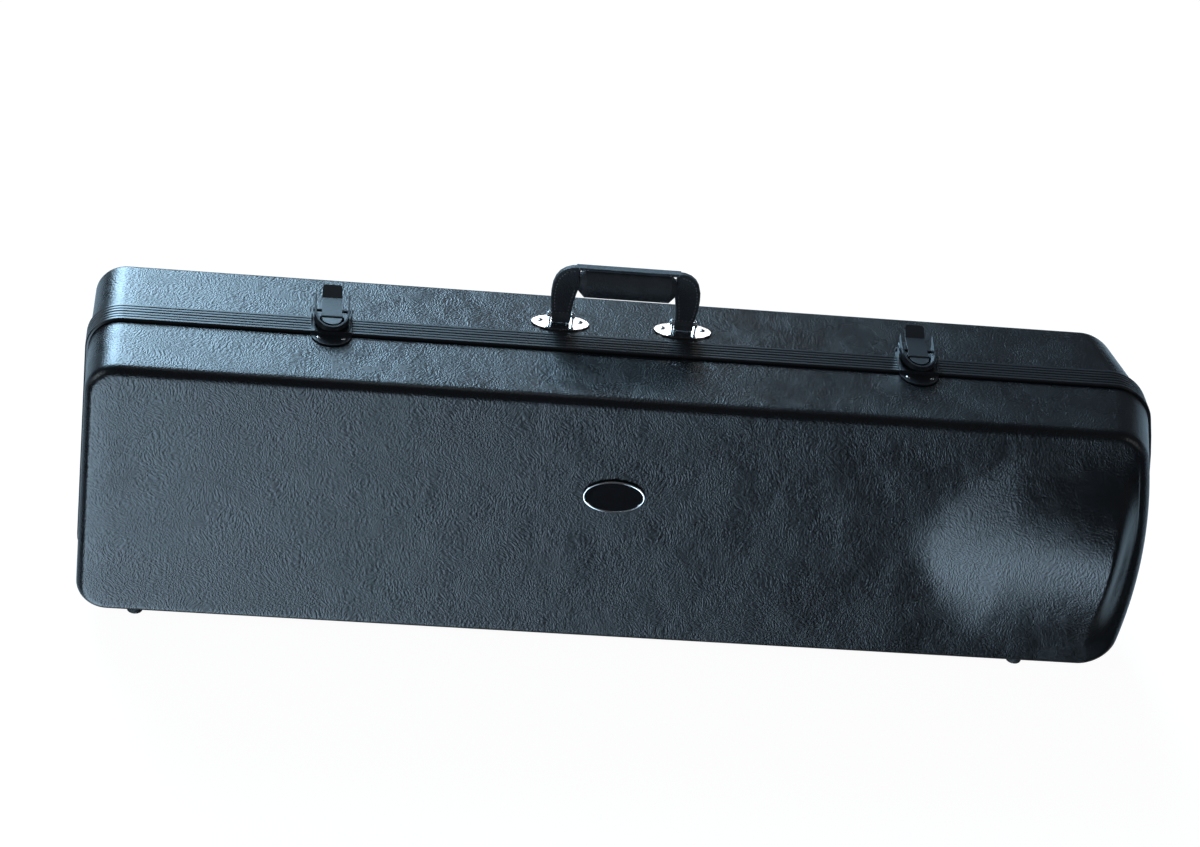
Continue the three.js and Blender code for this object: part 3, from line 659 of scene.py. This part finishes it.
class CaseSizes(bpy.types.PropertyGroup):
    """Sizes and colours of the case."""

    corner_radius: length("Corner radius", "Radius of the four corners, seen from the front", 28)
    end_bow: length("End bow", "How far the bell end bows outwards", 16)
    end_peak_drop: length("End peak", "How far below its middle the bell end bows out most", 27)
    end_lean: length("End lean", "How far the bell end draws in towards the face", 14)
    wall_draft: length("Wall draft", "How far the walls draw in from the rails to the face", 0.8)
    face_fillet: length("Face fillet", "Radius between the walls and the face", 8.5)
    wall: length("Wall thickness", "Thickness of the moulded plastic", 3)
    bell_rise: length("Bell rise", "How far the bell cone stands out from the face", 28)
    cone_length: length("Cone length", "From the cone's point to the bell's rim", 162)
    rim_setback: length("Rim setback", "From the bell's rim to the end of the case", 51)
    cone_opening: bpy.props.FloatProperty(
        name="Cone opening",
        description="Share of the cone's length at which it is as wide as the face",
        default=0.45, min=0.1, max=1,
    )
    rail_width: length("Rail width", "Width of one closing rail", 12.6)
    rail_proud: length("Rail height", "How far the rails stand out from the walls", 3)
    groove_depth: length("Groove depth", "Depth of the grooves between the rail's ribs", 1.3)
    seam_gap: length("Seam gap", "Gap between the two closing rails", 0.4)
    seat_gap: length("Seat gap", "Gap between pieces that touch", 0.3)
    grain_density: bpy.props.FloatProperty(
        name="Grain density", description="Creases of the moulded grain in a metre",
        default=640, min=10,
    )
    grain_depth: length("Grain depth", "Depth of the moulded grain", 0.16)
    loop_width: length("Loop width", "Width of the strap's loops round the pins", 15.6)
    stitch_pitch: length("Stitch pitch", "From one stitch of the handle to the next", 3.3)
    stitch_inset: length("Stitch inset", "From the strap's edge to its stitches", 1.8)
    stitch_free: length("Stitch free", "Half of the strap's middle, which has no stitches", 36)
    shell_colour: colour("Shell colour", "The moulded plastic", 0.005, 0.006, 0.008)
    shell_cloud_colour: colour("Cloud colour", "Dull patches on the shell", 0.0038, 0.0045, 0.006)
    rail_colour: colour("Rail colour", "The closing rails", 0.014, 0.015, 0.018)
    lacquer_colour: colour("Lacquer colour", "Latches and hinges", 0.024, 0.027, 0.032)
    chrome_colour: colour("Chrome colour", "Handle plates and pins", 0.9, 0.9, 0.91)
    leather_colour: colour("Leather colour", "Handle covering", 0.034, 0.038, 0.045)
    thread_colour: colour("Thread colour", "Handle stitching", 0.17, 0.175, 0.19)
    lining_colour: colour("Lining colour", "Lining cloth", 0.016, 0.017, 0.021)
    lining_nap_colour: colour("Nap colour", "Cloth where its pile lies down", 0.034, 0.036, 0.043)


# The pieces


class CASE_OT_shells(bpy.types.Operator):
    """Moulds the two halves with their raised bell cones"""

    bl_idname = "trombone_case.shells"
    bl_label = "Shells"

    def execute(self, context):
        case = context.scene.trombone_case
        finish = moulded_plastic(case)
        for half, body, sign in HALVES:
            bm, nodes = shell_mesh(case, sign), [f"{half}_shell"]
            piece(f"{half}_moulding", bm, body, finish, nodes, angle=50)
        return {"FINISHED"}


class CASE_OT_rails(bpy.types.Operator):
    """Runs the ribbed closing rails round both halves"""

    bl_idname = "trombone_case.rails"
    bl_label = "Rails"

    def execute(self, context):
        case = context.scene.trombone_case
        finish = rail_plastic(case)
        for half, body, sign in HALVES:
            bm, nodes = rail_mesh(case, sign), [f"{half}_rail"]
            piece(f"{half}_ribbed_rail", bm, body, finish, nodes, angle=35)
        return {"FINISHED"}


class CASE_OT_linings(bpy.types.Operator):
    """Covers the fitted foam with plush and softens its pocket edges"""

    bl_idname = "trombone_case.linings"
    bl_label = "Linings"

    def execute(self, context):
        case = context.scene.trombone_case
        finish = plush(case)
        for half, body, _sign in HALVES:
            node = f"{half}_lining"
            bm = bmesh.new()
            bm.from_mesh(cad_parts[node].data)
            made = piece(f"{half}_plush_lining", bm, body, finish, [node], angle=180)
            soften = made.modifiers.new("Remesh", "REMESH")
            soften.mode = "VOXEL"
            soften.voxel_size = 3.4 * MM
            soften.use_smooth_shade = True
            relax = made.modifiers.new("Smooth", "SMOOTH")
            relax.factor = 0.5
            relax.iterations = 3
            settle(made)
        return {"FINISHED"}


class CASE_OT_latches(bpy.types.Operator):
    """Finishes the two lacquered lever latches and sets their rivets"""

    bl_idname = "trombone_case.latches"
    bl_label = "Latches"

    def execute(self, context):
        case = context.scene.trombone_case
        lacquer, chrome = shared(black_lacquer, case), shared(bright_chrome, case)
        for side in SIDES:
            riders = {"base": "lid", "pin": "lid", "lever": f"{side}_lever", "claw": f"{side}_claw"}
            riders["strike"] = "case_back"
            for part, body in riders.items():
                node, name = f"{side}_latch_{part}", f"{side}_lacquered_{part}"
                bm = eased_copy(node, 0.45 * MM, angle=24)
                piece(name, bm, body, lacquer, [node], angle=28, even=True)
            low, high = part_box(f"{side}_latch_base")
            rims, cores = bmesh.new(), bmesh.new()
            for sign in (-1, 1):
                across = (low.x + high.x) / 2 + sign * RIVET_SPREAD
                spot = Vector((across, RIVET_Y, low.z + RIVET_RISE))
                bead(rims, spot, RIVET_RIM)
                bead(cores, spot + Vector((0, 0, CORE_RISE)), RIVET_CORE)
            piece(f"{side}_rivet_rims", rims, "lid", chrome, angle=60)
            piece(f"{side}_rivet_cores", cores, "lid", lacquer, angle=60)
        return {"FINISHED"}


class CASE_OT_handle(bpy.types.Operator):
    """Sews the handle and seats it on its chromed plates"""

    bl_idname = "trombone_case.handle"
    bl_label = "Handle"

    def execute(self, context):
        case = context.scene.trombone_case
        leather, thread = grained_leather(case), waxed_thread(case)
        chrome, lacquer = shared(bright_chrome, case), shared(black_lacquer, case)
        for node in ("handle_strap", "handle_grip"):
            bm, name = eased_copy(node, 0.5 * MM), f"sewn_{node}"
            piece(name, bm, "handle", leather, [node], angle=30, even=True)

        loops, radius = bmesh.new(), 6.2 * MM
        for side in SIDES:
            low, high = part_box(f"{side}_handle_pin")
            spot = Matrix.Translation((low + high) / 2) @ Matrix.Rotation(math.pi / 2, 4, "Y")
            bmesh.ops.create_cone(
                loops, cap_ends=True, segments=40, radius1=radius, radius2=radius,
                depth=case.loop_width, matrix=spot,
            )
        piece("strap_loops", loops, "handle", leather)
        seams = stitches(case, "handle_strap")
        piece("strap_stitches", seams, "handle", thread, angle=60)

        for side in SIDES:
            for part in ("plate", "pin"):
                node, name = f"{side}_handle_{part}", f"{side}_chromed_{part}"
                bm = eased_copy(node, 0.25 * MM)
                piece(name, bm, "case_back", chrome, [node], even=True)
            low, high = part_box(f"{side}_handle_plate")
            heads, slots = bmesh.new(), bmesh.new()
            for sign in (-1, 1):
                across = (low.x + high.x) / 2 + sign * SCREW_SPREAD
                away = (low.y + high.y) / 2 + SCREW_SHIFT
                spot = Vector((across, away, low.z + SCREW_RISE))
                bead(heads, spot, SCREW_HEAD)
                # Each slot is a black bar on the chrome head: painted shade where the real screw has
                # a recess
                for angle in (SLOT_TURN, SLOT_TURN + math.pi / 2):
                    turn = Matrix.Rotation(angle * sign, 4, "Z")
                    bar(slots, spot + Vector((0, 0, SLOT_RISE)), SCREW_SLOT, turn)
            piece(f"{side}_screw_heads", heads, "case_back", chrome, angle=60)
            piece(f"{side}_screw_slot_shade", slots, "case_back", lacquer)
        return {"FINISHED"}


class CASE_OT_badge(bpy.types.Operator):
    """Sets the bare oval badge in its bright rim"""

    bl_idname = "trombone_case.badge"
    bl_label = "Badge"

    def execute(self, context):
        case = context.scene.trombone_case
        bm, enamel = eased_copy("badge_plate", 0.2 * MM), badge_enamel(case)
        piece("oval_badge", bm, "lid", enamel, ["badge_plate"], even=True)

        # The rim's section is a small oval, half_wide and half_high in millimetres
        low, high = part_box("badge_plate")
        middle, half = (low + high) / 2, (high - low) / 2
        half_wide, half_high, section_steps = 0.9, 0.7, 12
        rings = []
        for step in range(section_steps):
            angle = step / section_steps * 2 * math.pi
            out = (half_wide * math.cos(angle) - half_wide) * MM
            up = half_high * math.sin(angle) * MM
            rings.append(oval(middle, half.x + out, half.z + out, low.y - up))
        rim, chrome = skin(rings, closed=True), shared(bright_chrome, case)
        piece("badge_rim", rim, "lid", chrome, angle=60)
        return {"FINISHED"}


class CASE_OT_feet_and_hinges(bpy.types.Operator):
    """Finishes the rubber feet and the hinges under the rails"""

    bl_idname = "trombone_case.feet_and_hinges"
    bl_label = "Feet and hinges"

    def execute(self, context):
        case = context.scene.trombone_case
        rubber, lacquer = foot_rubber(case), shared(black_lacquer, case)
        for half, body, _sign in HALVES:
            for side in SIDES:
                node, name = f"{half}_foot_{side}", f"{half}_{side}_rubber_foot"
                piece(name, eased_copy(node, 0.4 * MM), body, rubber, [node])
        riders = {"back_leaf": "case_back", "front_leaf": "lid", "pin": "case_back"}
        for number in (1, 2, 3):
            for part, body in riders.items():
                node = f"hinge_{number}_{part}"
                bm = eased_copy(node, 0.15 * MM, segments=1)
                piece(f"steel_{node}", bm, body, lacquer, [node])
        return {"FINISHED"}


# The stage


def pale_floor():
    """A white floor that keeps the case's shadow. Where the case mirrors the floor in front, the
    floor glows as a painted reflection: dim, with one bright patch.
    """
    finish = Finish("pale_floor")
    finish.set(Base_Color=rgba((0.92, 0.92, 0.92)), Roughness=0.9)
    seen = finish.node("ShaderNodeLightPath", output="Is Camera Ray")
    mirrored = finish.node("ShaderNodeLightPath", output="Is Glossy Ray")
    white = finish.glowing("ShaderNodeEmission", WHITE, 1.12)
    dim = finish.glowing("ShaderNodeEmission", DIM_DAYLIGHT, 0.05)
    glow = finish.glowing("ShaderNodeEmission", (0.58, 0.8, 1.0), 7.8)
    lit = Value(finish, finish.shader.outputs[0])

    # The way back along a mirrored ray: from the bright patch it runs to the right and upwards
    across, away, upward = finish.parts(finish.node("ShaderNodeNewGeometry", output="Incoming"))
    # Painted reflection: only mirrored rays see this glowing patch and the dim glow round it, which
    # light the case's face
    patch = across.between(-0.07, 0.09) * across.between(0.5, 0.35) * upward.between(0.12, 0.5)
    plain = finish.blended(seen * 0.86, lit, white)
    front = finish.blended(patch, dim, glow)
    shader = finish.blended(mirrored * away.between(-0.1, 0.3), plain, front)
    finish.feed(finish.tree.nodes["Material Output"].inputs["Surface"], shader)
    return finish.material


def studio_sky(scene):
    """A dim sky that the camera sees white, with a bright patch for the top walls to mirror."""
    scene.world = bpy.data.worlds.new("studio")
    scene.world.use_nodes = True
    finish = Finish("studio", scene.world.node_tree)
    seen = finish.node("ShaderNodeLightPath", output="Is Camera Ray")
    white = finish.glowing("ShaderNodeBackground", WHITE, 1.0)
    glow = finish.glowing("ShaderNodeBackground", (0.5, 0.77, 1.0), 16.0)
    background = finish.tree.nodes["Background"]
    finish.feed(background.inputs["Color"], rgba(DIM_DAYLIGHT))
    finish.feed(background.inputs["Strength"], 0.08)
    dim = Value(finish, background.outputs[0])

    # The way of a mirrored ray: the patch lies behind the case, to the left and half way up
    across, away, upward = finish.parts(finish.node("ShaderNodeTexCoord", output="Generated"))
    patch = across.between(0.05, -0.07) ** 2.0 * across.between(-0.45, -0.3)
    patch = patch * away.between(0.1, 0.4) * upward.between(0.12, 0.3) * upward.between(0.85, 0.68)
    shader = finish.blended(seen, finish.blended(patch, dim, glow), white)
    finish.feed(finish.tree.nodes["World Output"].inputs["Surface"], shader)


def lamp(scene, name, place, target, size, watts, tint=DAYLIGHT):
    """Adds a rectangular lamp that points at its target."""
    data = bpy.data.lights.new(name, "AREA")
    data.shape = "RECTANGLE"
    data.size, data.size_y = size
    data.energy = watts
    data.color = tint
    made = bpy.data.objects.new(name, data)
    made.location = place
    made.rotation_euler = (Vector(target) - Vector(place)).to_track_quat("-Z", "Y").to_euler()
    scene.collection.objects.link(made)


def photo_camera(scene):
    """Adds the camera, turned, tilted down and rolled as the photograph's was."""
    turn, tilt, roll = CAMERA_TURN, CAMERA_TILT, CAMERA_ROLL
    flat = math.cos(tilt)
    ahead = Vector((math.sin(turn) * flat, math.cos(turn) * flat, -math.sin(tilt)))
    level = Vector((math.cos(turn), -math.sin(turn), 0.0))
    upright = level.cross(ahead)
    right = level * math.cos(roll) + upright * math.sin(roll)
    up = upright * math.cos(roll) - level * math.sin(roll)
    data = bpy.data.cameras.new("camera")
    data.lens = FOCAL_PIXELS / PHOTO_WIDTH * data.sensor_width
    made = bpy.data.objects.new("camera", data)
    axes = Matrix((right, up, -ahead)).transposed().to_4x4()
    made.matrix_world = Matrix.Translation(CAMERA_PLACE) @ axes
    scene.collection.objects.link(made)
    scene.camera = made


class CASE_OT_stage(bpy.types.Operator):
    """Sets the pale floor, the sky, the soft lamps and the camera"""

    bl_idname = "trombone_case.stage"
    bl_label = "Stage"

    def execute(self, context):
        scene = context.scene
        bm = bmesh.new()
        bmesh.ops.create_grid(bm, x_segments=1, y_segments=1, size=12.0)
        mesh = bpy.data.meshes.new("floor")
        bm.to_mesh(mesh)
        bm.free()
        floor = bpy.data.objects.new("floor", mesh)
        scene.collection.objects.link(floor)
        mesh.materials.append(pale_floor())
        studio_sky(scene)
        lamp(scene, "side", (-2.1, -0.9, 0.9), (-0.4, 0, 0.12), (0.9, 0.9), 9.0, (0.72, 0.88, 1.0))
        lamp(scene, "fill", (2.4, -1.3, 1.1), (0.4, 0, 0.1), (1.0, 1.0), 4.0)
        lamp(scene, "top", (-0.1, 0.25, 2.0), (-0.1, 0.1, 0.2), (0.8, 0.8), 1.1)
        lamp(scene, "card", (0.42, 3.0, 2.01), (0, 0.03, 0.26), (0.44, 0.17), 0.66, WHITE)
        photo_camera(scene)
        scene.view_settings.view_transform = "Standard"
        return {"FINISHED"}


class CASE_PT_panel(bpy.types.Panel):
    """Lists the steps that dress the case, and its sizes and colours"""

    bl_idname = "CASE_PT_panel"
    bl_label = "Trombone Case"
    bl_space_type = "VIEW_3D"
    bl_region_type = "UI"
    bl_category = "Trombone Case"

    def draw(self, context):
        for step in STEPS:
            self.layout.operator(step.bl_idname)
        for name in CaseSizes.__annotations__:
            self.layout.prop(context.scene.trombone_case, name)


STEPS = (
    CASE_OT_stage, CASE_OT_shells, CASE_OT_rails, CASE_OT_linings, CASE_OT_latches, CASE_OT_handle,
    CASE_OT_badge, CASE_OT_feet_and_hinges,
)
CLASSES = (CaseSizes, *STEPS, CASE_PT_panel)


def register():
    for item in CLASSES:
        bpy.utils.register_class(item)
    bpy.types.Scene.trombone_case = bpy.props.PointerProperty(type=CaseSizes)


def unregister():
    del bpy.types.Scene.trombone_case
    for item in reversed(CLASSES):
        bpy.utils.unregister_class(item)


def main():
    register()
    for step in STEPS:
        group, name = step.bl_idname.split(".")
        getattr(getattr(bpy.ops, group), name)()


if __name__ == "__main__":
    main()
